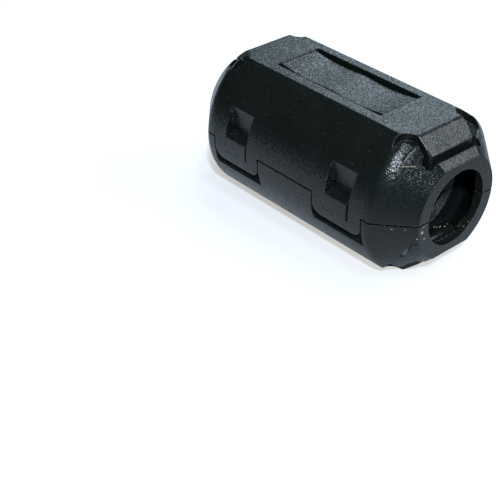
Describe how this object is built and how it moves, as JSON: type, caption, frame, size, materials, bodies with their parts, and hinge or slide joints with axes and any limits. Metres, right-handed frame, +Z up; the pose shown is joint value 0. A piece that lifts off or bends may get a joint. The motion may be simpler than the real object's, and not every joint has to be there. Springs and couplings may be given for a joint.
{
  "type": "clip-on ferrite bead",
  "caption": "Clip-on ferrite bead: a split ferrite tube in a hinged snap-together case with tapered ends, clipped round a cable.",
  "frame": {"origin": "centre of the cable bore, midway between the two end faces and level with the parting line", "axes": "+X along the cable bore, +Y from the latch side towards the hinge, +Z up through the lid"},
  "size_m": [0.036, 0.0216, 0.0184],
  "materials": {
    "case": "fine spark-eroded texture, satin",
    "ferrite": "sintered, satin, with ground mating faces"
  },
  "bodies": {
    "base": {"lower_shell": "case", "lower_core": "ferrite", "hinge_straps": "case"},
    "lid": {"upper_shell": "case", "upper_core": "ferrite"}
  },
  "joints": [
    {"name": "lid_hinge", "type": "hinge", "parent": "base", "child": "lid", "pos_m": [0, 0.0112, 0], "axis": [-1, 0, 0], "range_deg": [0, 180], "deforming": ["hinge_straps"]}
  ]
}
